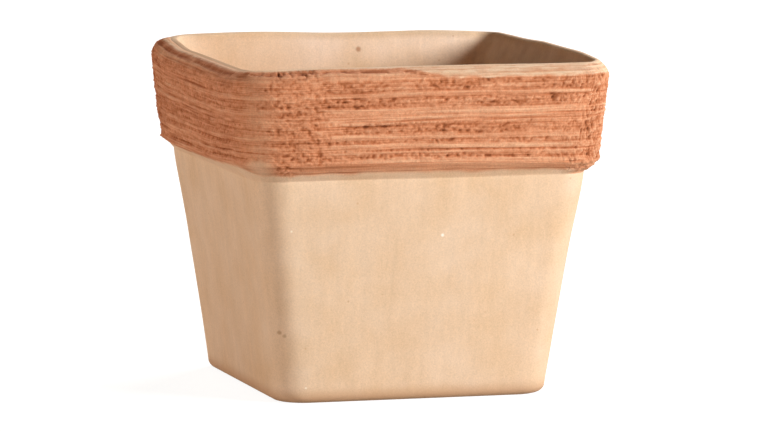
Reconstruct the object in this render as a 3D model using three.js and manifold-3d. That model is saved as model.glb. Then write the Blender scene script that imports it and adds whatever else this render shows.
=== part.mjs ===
// A square terracotta plant pot, 300 mm across its collar and 260 mm high, in millimetres with +Z up.
// The origin is on the ground at the middle of the foot, and the front faces -Y.
// It is put together as a slab-built pot is: four tapering wall slabs mitred at rounded corners stand
// round a floor slab with a drain hole, coils of clay are pressed into the seams inside, and four strips
// are laid round the top as a heavy collar. Slip and firing then make the joints fast.
import * as THREE from "three";
import { mergeVertices } from "three/addons/utils/BufferGeometryUtils.js";
import Module from "manifold-3d";

const wasm = await Module();
wasm.setup();

// Driving dimensions: the walls.
const POT_HEIGHT = 260;
const FOOT_WIDTH = 218; // across two opposite walls at the ground, before the foot's edge is rounded
const WALL_TOP_WIDTH = 285; // across two opposite walls at the rim, under the collar
const WALL_THICKNESS = 13;
const WALL_CORNER_RADIUS = 22; // outside
const CAVITY_CORNER_RADIUS = 9; // inside, before the seam coil goes in
const FOOT_EDGE_RADIUS = 6;
const LIP_INNER_RADIUS = 2.5;
const LIP_LAND = 2; // flat along the lip's crest, beside the cavity
const LIP_FALL = 4.5; // how far the lip slopes down from its crest to the collar's face

// Driving dimensions: the floor.
const FLOOR_THICKNESS = 15;
const DRAIN_DIAMETER = 28;

// Driving dimensions: the collar, measured outwards from the wall and down from the rim.
const COLLAR_HEIGHT = 84;
const COLLAR_TOP_PROJECTION = 7.5;
const COLLAR_FOOT_PROJECTION = 11.5;
const COLLAR_UNDERCUT_HEIGHT = 11; // the slanted underside between the collar's lower edge and the wall
const COLLAR_FEATHER = 1.5; // the strip's thickness where its underside runs out on the wall
const COLLAR_EDGE_RADIUS = 5; // the rounded upper edge
const COLLAR_TOP_LAND = 1; // flat left at the top of the strip, against the wall

// Driving dimensions: the combing. A tool with a few broad teeth was dragged along the collar's face and tore
// a shallow band of clay out under each tooth, so that plain ribs stand between the bands.
const COMB_DEPTH = 1;
const COMB_EASE = 1.3; // the height over which a band's floor rises to the face, at its top and at its foot
const COMB_BANDS = [
  [0.02, 0.15],
  [0.21, 0.35],
  [0.52, 0.65],
  [0.7, 0.77],
  [0.89, 0.98],
]; // each band's top and foot, as shares of the face's height from its upper edge down

// Driving dimensions: the seam coils.
const FLOOR_COIL_LEG = 10; // how far the cove reaches up the wall and out over the floor
const CORNER_COIL_RADIUS = 20; // of the smoothed inside corner
const COIL_FEATHER = 0.8;
const CORNER_COIL_TOP_DROP = 12; // from the rim down to the end of a corner coil

// Every luted joint is this wide before it is filled with slip.
const JOINT_GAP = 0.3;

// How round stretches are faceted, and how far a cutting tool passes what it cuts.
const CORNER_SEGMENTS = 8;
const EDGE_SEGMENTS = 4;
const DRAIN_SEGMENTS = 32;
const OVERCUT = 5;

const sides = ["front", "right", "back", "left"];
const cornerNames = ["front_right", "back_right", "back_left", "front_left"];

const slipCoatedClay = new THREE.MeshStandardMaterial({ color: 0xe7c5a2, roughness: 0.9, metalness: 0 });
const combedRedClay = new THREE.MeshStandardMaterial({ color: 0xc98a62, roughness: 1, metalness: 0 });

// Half the distance across the walls' outer faces, and across the cavity, at height z.
const wallHalf = (z) => FOOT_WIDTH / 2 + ((WALL_TOP_WIDTH - FOOT_WIDTH) / 2) * (z / POT_HEIGHT);
const cavityHalf = (z) => wallHalf(z) - WALL_THICKNESS;

// The lip: a crest beside the cavity, and a slope from there out to the collar's face.
const crestHalf = cavityHalf(POT_HEIGHT) + LIP_INNER_RADIUS + LIP_LAND;
const collarFaceHalf = wallHalf(POT_HEIGHT) + COLLAR_TOP_PROJECTION;
const lipZ = (half) => POT_HEIGHT - (LIP_FALL * (half - crestHalf)) / (collarFaceHalf - crestHalf);

// Heights that several pieces share.
const collarFootZ = POT_HEIGHT - COLLAR_HEIGHT;
const collarLowerEdgeZ = collarFootZ + COLLAR_UNDERCUT_HEIGHT;
const floorCoilZ = FLOOR_THICKNESS + JOINT_GAP;
const cornerCoilZ = floorCoilZ + FLOOR_COIL_LEG + JOINT_GAP;

// A closed mesh as a solid that can be joined and cut.
function toSolid(geometry) {
  const bare = geometry.index ? geometry.toNonIndexed() : geometry.clone();
  bare.deleteAttribute("normal");
  bare.deleteAttribute("uv");
  const merged = mergeVertices(bare, 1e-4);
  const vertProperties = new Float32Array(merged.attributes.position.array);
  const triVerts = new Uint32Array(merged.index.array);
  return new wasm.Manifold(new wasm.Mesh({ numProp: 3, vertProperties, triVerts }));
}

// A solid back as a geometry.
function toGeometry(solid) {
  const mesh = solid.getMesh();
  const geometry = new THREE.BufferGeometry();
  geometry.setAttribute("position", new THREE.BufferAttribute(new Float32Array(mesh.vertProperties), 3));
  geometry.setIndex(new THREE.BufferAttribute(new Uint32Array(mesh.triVerts), 1));
  geometry.computeVertexNormals();
  return geometry;
}

// A square of the given half-width with round corners.
function roundedSquare(half, radius) {
  const straight = half - radius;
  const shape = new THREE.Shape();
  shape.moveTo(-straight, -half);
  shape.lineTo(straight, -half);
  shape.absarc(straight, -straight, radius, -Math.PI / 2, 0);
  shape.absarc(straight, straight, radius, 0, Math.PI / 2);
  shape.absarc(-straight, straight, radius, Math.PI / 2, Math.PI);
  shape.absarc(-straight, -straight, radius, Math.PI, Math.PI * 1.5);
  return shape;
}

// A solid through a stack of rounded squares. Each level is { z, half, radius }, from the lowest up.
// The first level is extruded with one step to each level, and each step is then set to its own size:
// a corner point keeps its direction from the corner's centre, and the centre and radius change.
function lofted(levels) {
  const first = levels[0];
  const steps = levels.length - 1;
  const shape = roundedSquare(first.half, first.radius);
  const options = { depth: steps, steps, bevelEnabled: false, curveSegments: CORNER_SEGMENTS };
  const geometry = new THREE.ExtrudeGeometry(shape, options);
  const position = geometry.attributes.position;
  const firstStraight = first.half - first.radius;
  for (let i = 0; i < position.count; i++) {
    const { z, half, radius } = levels[Math.round(position.getZ(i))];
    const place = (value) => {
      const side = Math.sign(value);
      const along = (value - side * firstStraight) / first.radius;
      return side * (half - radius) + along * radius;
    };
    position.setXYZ(i, place(position.getX(i)), place(position.getY(i)), z);
  }
  return toSolid(geometry);
}

// A quarter turn as fractions along two axes: across runs from 0 to 1 while rise runs from 1 to 0.
function quarterTurn() {
  return Array.from({ length: EDGE_SEGMENTS + 1 }, (_, i) => {
    const angle = (Math.PI / 2) * (i / EDGE_SEGMENTS);
    return { across: Math.sin(angle), rise: Math.cos(angle) };
  });
}

// The space in front of the two diagonals, where the front's pieces are cut off at their mitres.
function frontWedge() {
  const reach = wallHalf(POT_HEIGHT) + COLLAR_TOP_PROJECTION + COLLAR_FOOT_PROJECTION + OVERCUT;
  const apex = -JOINT_GAP / Math.SQRT2;
  const triangle = new THREE.Shape();
  triangle.moveTo(0, apex);
  triangle.lineTo(-reach, apex - reach);
  triangle.lineTo(reach, apex - reach);
  const depth = POT_HEIGHT + 2 * OVERCUT;
  return toSolid(new THREE.ExtrudeGeometry(triangle, { depth, bevelEnabled: false }).translate(0, 0, -OVERCUT));
}

// The walls' outer faces, grown outwards by a clearance, between two heights.
function wallFaces(clearance, lowZ, highZ) {
  const level = (z) => ({ z, half: wallHalf(z) + clearance, radius: WALL_CORNER_RADIUS + clearance });
  return lofted([level(lowZ), level(highZ)]);
}

// The cavity, drawn in by a clearance, between two heights, with corners of the given radius.
function cavity(clearance, lowZ, highZ, cornerRadius) {
  const level = (z) => ({ z, half: cavityHalf(z) - clearance, radius: cornerRadius - clearance });
  return lofted([level(lowZ), level(highZ)]);
}

// The front wall: a tapering slab with half of a round corner at each end, a rounded foot and a rounded lip.
function frontWall(wedge) {
  const footEdge = quarterTurn().map(({ across, rise }) => {
    const z = FOOT_EDGE_RADIUS * (1 - rise);
    const inset = FOOT_EDGE_RADIUS * (1 - across);
    return { z, half: wallHalf(z) - inset, radius: WALL_CORNER_RADIUS - inset };
  });
  const lipEdgeZ = lipZ(wallHalf(POT_HEIGHT));
  const lipEdge = { z: lipEdgeZ, half: wallHalf(lipEdgeZ), radius: WALL_CORNER_RADIUS };
  const crest = { z: POT_HEIGHT, half: crestHalf, radius: WALL_CORNER_RADIUS - (lipEdge.half - crestHalf) };
  const outside = lofted([...footEdge, lipEdge, crest]);

  const lip = quarterTurn().map(({ across, rise }) => {
    const z = POT_HEIGHT - LIP_INNER_RADIUS * (1 - across);
    const flare = LIP_INNER_RADIUS * (1 - rise);
    return { z, half: cavityHalf(z) + flare, radius: CAVITY_CORNER_RADIUS + flare };
  });
  const under = { z: -OVERCUT, half: cavityHalf(-OVERCUT), radius: CAVITY_CORNER_RADIUS };
  const over = { ...lip.at(-1), z: POT_HEIGHT + OVERCUT };
  const inside = lofted([under, ...lip, over]);
  return toGeometry(outside.subtract(inside).intersect(wedge));
}

// The collar's combed face between two levels, as further levels from the lowest up.
function combedFace(lower, upper) {
  const height = upper.z - lower.z;
  const at = (depthShare, drawnIn) => ({
    z: upper.z - depthShare * height,
    half: upper.half + depthShare * (lower.half - upper.half) - drawnIn,
    radius: upper.radius + depthShare * (lower.radius - upper.radius) - drawnIn,
  });
  const ease = COMB_EASE / height;
  return COMB_BANDS.toReversed().flatMap(([top, foot]) => [
    at(foot, 0),
    at(foot - ease, COMB_DEPTH),
    at(top + ease, COMB_DEPTH),
    at(top, 0),
  ]);
}

// The front collar strip: a slanted underside, a combed face that leans out a little less than the wall, a
// rounded upper edge, and a top that carries on the lip's slope.
function frontCollar(wedge) {
  const level = (z, projection) => ({
    z,
    half: wallHalf(z) + projection,
    radius: WALL_CORNER_RADIUS + projection,
  });
  const faceRadius = WALL_CORNER_RADIUS + COLLAR_TOP_PROJECTION;
  const drawnIn = (inset, z) => ({ z, half: collarFaceHalf - inset, radius: faceRadius - inset });
  const edgeTopZ = lipZ(collarFaceHalf - COLLAR_EDGE_RADIUS);
  const upperEdge = quarterTurn().map(({ across, rise }) =>
    drawnIn(COLLAR_EDGE_RADIUS * (1 - rise), edgeTopZ - COLLAR_EDGE_RADIUS * (1 - across)),
  );
  const topInset = COLLAR_TOP_PROJECTION - JOINT_GAP - COLLAR_TOP_LAND;
  const lowerEdge = level(collarLowerEdgeZ, COLLAR_FOOT_PROJECTION);
  const outside = lofted([
    level(collarFootZ, JOINT_GAP + COLLAR_FEATHER),
    lowerEdge,
    ...combedFace(lowerEdge, upperEdge[0]),
    ...upperEdge,
    drawnIn(topInset, lipZ(collarFaceHalf - topInset)),
  ]);
  const seat = wallFaces(JOINT_GAP, collarFootZ - OVERCUT, POT_HEIGHT + OVERCUT);
  return toGeometry(outside.subtract(seat).intersect(wedge));
}

// The floor: one slab that fits between the walls' feet, with a drain hole through its middle.
function floorSlab() {
  const slab = cavity(JOINT_GAP, 0, FLOOR_THICKNESS, CAVITY_CORNER_RADIUS);
  const length = FLOOR_THICKNESS + 2 * OVERCUT;
  const drill = new THREE.CylinderGeometry(DRAIN_DIAMETER / 2, DRAIN_DIAMETER / 2, length, DRAIN_SEGMENTS);
  drill.rotateX(Math.PI / 2).translate(0, 0, FLOOR_THICKNESS / 2);
  return toGeometry(slab.subtract(toSolid(drill)));
}

// The coil pressed round the floor's seam: a closed ring with a hollow cove for its face.
function floorCoil() {
  const topZ = floorCoilZ + FLOOR_COIL_LEG;
  const ring = cavity(JOINT_GAP, floorCoilZ, topZ, CAVITY_CORNER_RADIUS);
  const legInside = FLOOR_COIL_LEG - COIL_FEATHER;
  const cove = quarterTurn().map(({ across, rise }) => {
    const z = floorCoilZ + COIL_FEATHER + legInside * (1 - rise);
    return { z, half: cavityHalf(z) - JOINT_GAP - COIL_FEATHER - legInside * (1 - across) };
  });
  const coveRadius = CORNER_COIL_RADIUS;
  const levels = [{ ...cove[0], z: floorCoilZ - OVERCUT }, ...cove, { ...cove.at(-1), z: topZ + OVERCUT }];
  return toGeometry(ring.subtract(lofted(levels.map((level) => ({ ...level, radius: coveRadius })))));
}

// The coil pressed up the front's right-hand corner: a crescent between the tight corner that the slabs
// leave and the wider one that a thumb makes of it.
function cornerCoil() {
  const topZ = POT_HEIGHT - CORNER_COIL_TOP_DROP;
  const corner = cavity(JOINT_GAP, cornerCoilZ, topZ, CAVITY_CORNER_RADIUS);
  const inset = JOINT_GAP + COIL_FEATHER;
  const smoothed = cavity(inset, cornerCoilZ - OVERCUT, topZ + OVERCUT, CORNER_COIL_RADIUS + inset);
  const lowHalf = cavityHalf(cornerCoilZ) - inset - CORNER_COIL_RADIUS;
  const highHalf = cavityHalf(topZ) - inset - CORNER_COIL_RADIUS;
  const lean = (highHalf - lowHalf) / (topZ - cornerCoilZ);
  const size = CORNER_COIL_RADIUS + inset + OVERCUT;
  const region = new THREE.BoxGeometry(size, size, topZ - cornerCoilZ + 2 * OVERCUT);
  region.translate(lowHalf + size / 2, -lowHalf - size / 2, (topZ + cornerCoilZ) / 2);
  const position = region.attributes.position;
  for (let i = 0; i < position.count; i++) {
    const shift = lean * (position.getZ(i) - cornerCoilZ);
    position.setXY(i, position.getX(i) + shift, position.getY(i) - shift);
  }
  return toGeometry(corner.subtract(smoothed).intersect(toSolid(region)));
}

function part(name, geometry, material) {
  const mesh = new THREE.Mesh(geometry, material);
  mesh.name = name;
  return mesh;
}

const pot = new THREE.Group();
pot.add(part("floor_slab", floorSlab(), slipCoatedClay));
pot.add(part("floor_seam_coil", floorCoil(), slipCoatedClay));

// The four sides are alike, so each is the front's set of pieces turned about the pot's axis.
const wedge = frontWedge();
const wallGeometry = frontWall(wedge);
const collarGeometry = frontCollar(wedge);
const coilGeometry = cornerCoil();
sides.forEach((side, quarter) => {
  const group = new THREE.Group();
  group.rotation.z = (quarter * Math.PI) / 2;
  group.add(part(`${side}_wall`, wallGeometry, slipCoatedClay));
  group.add(part(`${side}_collar_strip`, collarGeometry, combedRedClay));
  group.add(part(`${cornerNames[quarter]}_seam_coil`, coilGeometry, slipCoatedClay));
  pot.add(group);
});

export default pot;
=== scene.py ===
# %% [markdown]
# # A square terracotta pot with a combed collar
#
# The pot is slab-built: four tapering walls with rounded corners round a floor with a drain hole, and a heavy
# collar laid round the top. The walls are coated with pale slip and rubbed smooth. The collar's face is left
# bare: a toothed tool was dragged along it, and the clay tore into ribs, thin grooves and rows of pits.
# This script loads the measured solids and models the fired clay's real surface in their place.

import math

import bmesh
import bpy
from mathutils import Matrix, Vector, noise


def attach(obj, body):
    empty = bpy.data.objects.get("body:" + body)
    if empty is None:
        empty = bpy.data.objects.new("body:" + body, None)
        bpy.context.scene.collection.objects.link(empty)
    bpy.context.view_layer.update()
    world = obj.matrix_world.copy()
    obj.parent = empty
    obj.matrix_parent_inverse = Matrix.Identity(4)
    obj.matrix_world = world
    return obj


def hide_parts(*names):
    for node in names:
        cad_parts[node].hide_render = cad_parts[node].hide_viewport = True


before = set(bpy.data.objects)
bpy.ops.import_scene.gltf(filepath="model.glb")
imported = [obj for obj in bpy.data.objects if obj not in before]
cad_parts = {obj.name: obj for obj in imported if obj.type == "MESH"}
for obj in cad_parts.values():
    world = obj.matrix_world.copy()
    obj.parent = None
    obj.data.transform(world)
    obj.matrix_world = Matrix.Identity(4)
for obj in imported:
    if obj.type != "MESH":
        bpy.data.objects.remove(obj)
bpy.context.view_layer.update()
scene = bpy.context.scene
scene.view_settings.view_transform = "Standard"

# %% [markdown]
# ## The camera
#
# A long lens from nearly five metres, a little to the left of the front and a little above the rim, sees the
# front, a narrow slice of the left side and the upper part of the inside. The pot isn't quite in the middle
# of the picture, so the camera aims just beside its axis. A shifted lens would do as well here, but it would
# shift every other view too.

# %% Place the camera
CAMERA_AZIMUTH = -17.19  # degrees round the pot from the front, to the left
CAMERA_ELEVATION = 7.16
CAMERA_DISTANCE = 4.69  # metres from the middle of the pot
CAMERA_ROLL = 0.434  # degrees
PICTURE_WIDTH = 768.0  # pixels
FOCAL_PIXELS = 6000.0  # focal length, in pixels of the picture
SENSOR_WIDTH = 36.0  # millimetres
POT_MIDDLE = Vector((0.0, 0.0, 0.125))
AIM_RIGHT = 0.0068  # how far beside and above the middle the camera aims
AIM_UP = 0.0038


def out_towards(azimuth, elevation):
    """Out from the pot at an azimuth from the front towards the right and an elevation, in degrees."""
    azimuth, elevation = math.radians(azimuth), math.radians(elevation)
    return Vector((math.sin(azimuth) * math.cos(elevation), -math.cos(azimuth) * math.cos(elevation),
                   math.sin(elevation)))


towards_camera = out_towards(CAMERA_AZIMUTH, CAMERA_ELEVATION)
camera_right = out_towards(CAMERA_AZIMUTH + 90.0, 0.0)
camera_up = towards_camera.cross(camera_right)
camera_data = bpy.data.cameras.new("camera")
camera_data.sensor_width = SENSOR_WIDTH
camera_data.lens = FOCAL_PIXELS / PICTURE_WIDTH * SENSOR_WIDTH
camera = bpy.data.objects.new("camera", camera_data)
scene.collection.objects.link(camera)
scene.camera = camera
camera.location = POT_MIDDLE + towards_camera * CAMERA_DISTANCE
aim = POT_MIDDLE + camera_right * AIM_RIGHT + camera_up * AIM_UP
look = (aim - camera.location).to_track_quat("-Z", "Y").to_matrix()
camera.rotation_euler = (look @ Matrix.Rotation(math.radians(CAMERA_ROLL), 3, "Z")).to_euler()
print("camera at", [round(c, 3) for c in camera.location], "with a lens of", round(camera_data.lens, 1), "mm")

# %% [markdown]
# ## Colours and nodes
#
# Colours are written as sRGB hex values, the way a colour picker shows them, and turned into the linear values
# that the renderer works with. Materials are trees of nodes. One small function adds a node, sets it and links
# it, so a material reads as a list of its nodes from pattern to surface.

# %% Helpers for colours and nodes


def linear(hex_colour):
    """An sRGB hex colour such as "e8c8a6" as a linear RGBA value."""
    channels = [int(hex_colour[i:i + 2], 16) / 255 for i in (0, 2, 4)]
    return (*(c / 12.92 if c <= 0.04045 else ((c + 0.055) / 1.055) ** 2.4 for c in channels), 1.0)


def add_node(tree, kind, inputs=None, **settings):
    """A new node; each input is a value to set or another node's output socket to link."""
    made = tree.nodes.new(kind)
    for name, value in settings.items():
        setattr(made, name, value)
    for key, value in (inputs or {}).items():
        if isinstance(value, bpy.types.NodeSocket):
            tree.links.new(value, made.inputs[key])
        else:
            made.inputs[key].default_value = value
    return made


def new_material(name):
    """An empty node material and its tree."""
    made = bpy.data.materials.new(name)
    made.use_nodes = True
    made.node_tree.nodes.clear()
    return made, made.node_tree


print("mid grey in linear light:", round(linear("808080")[0], 3))

# %% [markdown]
# ## The floor and the light
#
# The pot stands on a plain white floor. One wide lamp stands to the front right, fairly low, and throws the right
# wall's shadow across the inside. A second, high behind the right corner, only brightens the lip. Low white
# reflectors on the left and behind bring those sides up to half as bright, and they stay below the rim, so the
# inside keeps its deep shadow. More light would turn the floor white, but it would bleach the pot too. So the
# floor glows by itself, only where it is seen, and still takes the pot's shadow and bounces light back at it.

# %% Make the floor
STUDIO_WHITE = (1.0, 1.0, 0.99, 1.0)
FLOOR_GLOW = 0.93  # how much of the floor's white is seen without any lamp
SHADOW_SHARE = 0.26  # how much of the lamps' light is seen on it, and so how dark a shadow can be
FLOOR_BOUNCE = 0.56  # how much of their light it throws back at the pot
FLOOR_REACH = 6.0  # metres


def seen_directly(tree):
    """1 for a ray that shows a thing, straight, mirrored or through glass, and 0 for one that gathers light."""
    path = add_node(tree, "ShaderNodeLightPath")
    mirrored = add_node(tree, "ShaderNodeMath", {
        0: path.outputs["Is Camera Ray"], 1: path.outputs["Is Glossy Ray"]}, operation="MAXIMUM")
    through = add_node(tree, "ShaderNodeMath", {
        0: mirrored.outputs[0], 1: path.outputs["Is Transmission Ray"]}, operation="MAXIMUM")
    return through.outputs[0]


floor_material, tree = new_material("white_studio_floor")
matt_white = add_node(tree, "ShaderNodeBsdfDiffuse", {"Color": (FLOOR_BOUNCE, FLOOR_BOUNCE, FLOOR_BOUNCE, 1.0)})
shadow_catcher = add_node(tree, "ShaderNodeBsdfDiffuse", {"Color": (SHADOW_SHARE, SHADOW_SHARE, SHADOW_SHARE, 1.0)})
glow = add_node(tree, "ShaderNodeEmission", {"Color": STUDIO_WHITE, "Strength": FLOOR_GLOW})
seen_floor = add_node(tree, "ShaderNodeAddShader", {0: shadow_catcher.outputs[0], 1: glow.outputs[0]})
floor_mix = add_node(tree, "ShaderNodeMixShader", {
    0: seen_directly(tree), 1: matt_white.outputs[0], 2: seen_floor.outputs[0]})
add_node(tree, "ShaderNodeOutputMaterial", {"Surface": floor_mix.outputs[0]})

floor_mesh = bpy.data.meshes.new("studio_floor")
bm = bmesh.new()
bmesh.ops.create_grid(bm, x_segments=1, y_segments=1, size=FLOOR_REACH)
bm.to_mesh(floor_mesh)
bm.free()
floor_mesh.materials.append(floor_material)
studio_floor = bpy.data.objects.new("studio_floor", floor_mesh)
scene.collection.objects.link(studio_floor)
print("floor is", [round(side, 1) for side in studio_floor.dimensions], "metres")

# %% Make the lamps and the reflectors
BELOW_RIM = Vector((0.0, 0.0, 0.12))
LAMPS = (  # name, azimuth, elevation, distance in metres, what it is aimed at, width and height, watts, colour
    ("front_right_lamp", 46.0, 20.0, 3.2, POT_MIDDLE, (1.1, 1.1), 120.0, (0.96, 0.985, 1.0)),
    ("lip_lamp", 140.0, 40.0, 3.2, POT_MIDDLE, (1.2, 1.2), 70.0, (1.0, 0.93, 0.9)),
    ("left_reflector", -75.0, 0.0, 3.6, BELOW_RIM, (5.0, 0.22), 77.0, (1.0, 0.85, 0.75)),
    ("back_reflector", 175.0, 0.0, 3.6, BELOW_RIM, (2.4, 0.22), 30.0, (1.0, 0.92, 0.85)),
)

for name, azimuth, elevation, distance, aim_at, size, watts, colour in LAMPS:
    out = out_towards(azimuth, elevation)
    data = bpy.data.lights.new(name, "AREA")
    data.shape = "RECTANGLE"
    data.size, data.size_y = size
    data.energy = watts
    data.color = colour
    lamp = bpy.data.objects.new(name, data)
    scene.collection.objects.link(lamp)
    lamp.location = aim_at + out * distance
    lamp.rotation_euler = (-out).to_track_quat("-Z", "Y").to_euler()
    lamp.visible_camera = False
    print(name, "at", [round(c, 2) for c in lamp.location])

# %% Make the world
FILL_COLOUR = (1.0, 0.92, 0.93, 1.0)  # the faint light that a room throws back from all round
FILL_STRENGTH = 0.045

world = bpy.data.worlds.new("even_light")
scene.world = world
world.use_nodes = True
tree = world.node_tree
tree.nodes.clear()
fill = add_node(tree, "ShaderNodeBackground", {"Color": FILL_COLOUR, "Strength": FILL_STRENGTH})
white = add_node(tree, "ShaderNodeBackground", {"Color": STUDIO_WHITE, "Strength": 1.0})
world_mix = add_node(tree, "ShaderNodeMixShader", {
    0: seen_directly(tree), 1: fill.outputs[0], 2: white.outputs[0]})
add_node(tree, "ShaderNodeOutputWorld", {"Surface": world_mix.outputs[0]})
print("made the world", world.name)

# %% [markdown]
# ## Slip-coated terracotta
#
# The walls are fired clay under a thin coat of pale slip, rubbed on wet with a sponge. To the eye that is a
# matt, warm cream with soft clouds where the coat is thinner and the red body shows through, faint upright
# wipe marks, a fine sandy grain and a few specks. A picture of slip would have to be unwrapped on to the pot and
# would blur close by. Noise in Object coordinates needs no unwrapping and stays sharp. Its sizes are in
# millimetres, so each scale is one over a size.

# %% The slip's own colour
METRE = 1000.0  # millimetres, because Object coordinates are in metres
WIPE_SHAPE = (1.0, 1.0, 0.07)  # wipe marks are drawn out upright
GRAIN = 1.3  # millimetres; real grit is about a third of that, which would be too fine to show


def per_mm(size):
    """The texture scale at which one feature measures about this many millimetres."""
    return METRE / size


def slip_coat(tree):
    """Adds the slip's own colour to a material, and returns the colour and the grain it is speckled with."""
    place = add_node(tree, "ShaderNodeTexCoord")
    clouds = add_node(tree, "ShaderNodeTexNoise", {
        "Vector": place.outputs["Object"], "Scale": per_mm(40), "Detail": 5.0, "Roughness": 0.6})
    upright = add_node(tree, "ShaderNodeMapping", {
        "Vector": place.outputs["Object"], "Scale": WIPE_SHAPE})
    wipes = add_node(tree, "ShaderNodeTexNoise", {
        "Vector": upright.outputs[0], "Scale": per_mm(7), "Detail": 3.0, "Roughness": 0.6})
    grain = add_node(tree, "ShaderNodeTexNoise", {
        "Vector": place.outputs["Object"], "Scale": per_mm(GRAIN), "Detail": 3.0, "Roughness": 0.7})
    cloud_colour = add_node(tree, "ShaderNodeValToRGB", {"Fac": clouds.outputs["Fac"]})
    cloud_colour.color_ramp.elements[0].position = 0.30
    cloud_colour.color_ramp.elements[0].color = linear("e2be98")
    cloud_colour.color_ramp.elements[1].position = 0.70
    cloud_colour.color_ramp.elements[1].color = linear("eacbac")
    wipe_light = add_node(tree, "ShaderNodeMapRange", {
        "Value": wipes.outputs["Fac"], "From Min": 0.3, "From Max": 0.75, "To Min": 0.965, "To Max": 1.045})
    grain_light = add_node(tree, "ShaderNodeMapRange", {
        "Value": grain.outputs["Fac"], "From Min": 0.3, "From Max": 0.7, "To Min": 0.905, "To Max": 1.075})
    light_product = add_node(tree, "ShaderNodeMath", {
        0: wipe_light.outputs[0], 1: grain_light.outputs[0]}, operation="MULTIPLY")
    coat = add_node(tree, "ShaderNodeVectorMath", {
        0: cloud_colour.outputs["Color"], "Scale": light_product.outputs[0]}, operation="SCALE")
    return coat.outputs[0], grain.outputs["Fac"]


print("the grain's scale is", round(per_mm(GRAIN)))

# %% [markdown]
# The walls' material adds what happened to that coat, and some painted light. The mesh says with two values
# how much paler the inside is painted towards the rim, as painted light, and where the coat is worn down to the
# body, a colour that also stands for painted shade at the foot's edge and further down inside. A few single marks
# have their own places: three flecks of lime, two nicks by the foot and a stain inside.

# %% Make the slip material
STREAK_SHAPE = (1.0, 1.0, 0.06)  # runs of slip inside are drawn out upright, too
MARK_SHARE = 0.4  # a distance through the front or back wall counts this much, so that a mark reaches its face
MARK_CORE, MARK_END = 0.5, 1.3  # where a mark starts to fade and where it ends, in its radii
SINGLE_MARKS = (  # place and radius in millimetres, colour and strength
    ((14.8, -125.6, 129.0), 1.3, "fff4e4", 0.95),
    ((-105.4, -126.4, 135.4), 0.9, "fff0dc", 0.7),
    ((-88.7, -110.6, 12.7), 0.9, "fff0dc", 0.7),
    ((-109.8, -110.8, 56.0), 1.6, "a27650", 0.6),
    ((-106.3, -112.3, 53.5), 1.5, "a27650", 0.45),
    ((24.3, 128.3, 247.1), 2.2, "a9704a", 0.7),
)

slip_material, tree = new_material("slip_coated_terracotta")
coat, grain = slip_coat(tree)
place = add_node(tree, "ShaderNodeTexCoord")
inside_painted_light = add_node(tree, "ShaderNodeAttribute", attribute_name="inside_painted_light")
worn_and_painted_shade = add_node(tree, "ShaderNodeAttribute", attribute_name="worn_and_painted_shade")
upright = add_node(tree, "ShaderNodeMapping", {"Vector": place.outputs["Object"], "Scale": STREAK_SHAPE})
streaks = add_node(tree, "ShaderNodeTexNoise", {
    "Vector": upright.outputs[0], "Scale": per_mm(4), "Detail": 3.0, "Roughness": 0.65})
# Painted light: this ramp makes the coat paler inside, and the real upright streaks are in it.
streaks_and_painted_light = add_node(tree, "ShaderNodeValToRGB", {"Fac": streaks.outputs["Fac"]})
streaks_and_painted_light.color_ramp.elements[0].position = 0.32
streaks_and_painted_light.color_ramp.elements[0].color = (1.14, 1.19, 1.32, 1.0)
streaks_and_painted_light.color_ramp.elements[1].position = 0.70
streaks_and_painted_light.color_ramp.elements[1].color = (1.20, 1.27, 1.42, 1.0)
coat_with_painted_light = add_node(tree, "ShaderNodeMix", {
    0: inside_painted_light.outputs["Fac"], 6: coat, 7: streaks_and_painted_light.outputs["Color"]},
    data_type="RGBA", blend_type="MULTIPLY", clamp_result=True)
# The worn colour stands for real wear of the coat, and for painted shade at the foot's edge and further down inside.
thinner_and_painted_shade = add_node(tree, "ShaderNodeMix", {
    0: worn_and_painted_shade.outputs["Fac"], 6: coat_with_painted_light.outputs[2], 7: linear("c39772")}, data_type="RGBA")
specks = add_node(tree, "ShaderNodeTexVoronoi", {
    "Vector": place.outputs["Object"], "Scale": per_mm(16), "Randomness": 1.0})
speck_mask = add_node(tree, "ShaderNodeMapRange", {
    "Value": specks.outputs["Distance"], "From Min": 0.03, "From Max": 0.07, "To Min": 0.4, "To Max": 0.0})
speckled = add_node(tree, "ShaderNodeMix", {
    0: speck_mask.outputs[0], 6: thinner_and_painted_shade.outputs[2], 7: linear("c08a60")}, data_type="RGBA")
colour = speckled.outputs[2]
across = add_node(tree, "ShaderNodeMapping", {"Vector": place.outputs["Object"], "Scale": (1.0, MARK_SHARE, 1.0)})
for (x, y, z), radius, hex_colour, strength in SINGLE_MARKS:
    away = add_node(tree, "ShaderNodeVectorMath", {
        0: across.outputs[0], 1: (x / METRE, MARK_SHARE * y / METRE, z / METRE)}, operation="DISTANCE")
    spot = add_node(tree, "ShaderNodeMapRange", {
        "Value": away.outputs["Value"], "From Min": MARK_CORE * radius / METRE,
        "From Max": MARK_END * radius / METRE, "To Min": strength, "To Max": 0.0})
    marked = add_node(tree, "ShaderNodeMix", {
        0: spot.outputs[0], 6: colour, 7: linear(hex_colour)}, data_type="RGBA")
    colour = marked.outputs[2]
grain_bump = add_node(tree, "ShaderNodeBump", {"Height": grain, "Strength": 0.25, "Distance": 0.0006})
slip_surface = add_node(tree, "ShaderNodeBsdfPrincipled", {
    "Base Color": colour, "Roughness": 0.9, "IOR": 1.45, "Specular IOR Level": 0.25,
    "Normal": grain_bump.outputs[0]})
add_node(tree, "ShaderNodeOutputMaterial", {"Surface": slip_surface.outputs[0]})
print("made", slip_material.name, "with", len(SINGLE_MARKS), "single marks")

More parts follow.
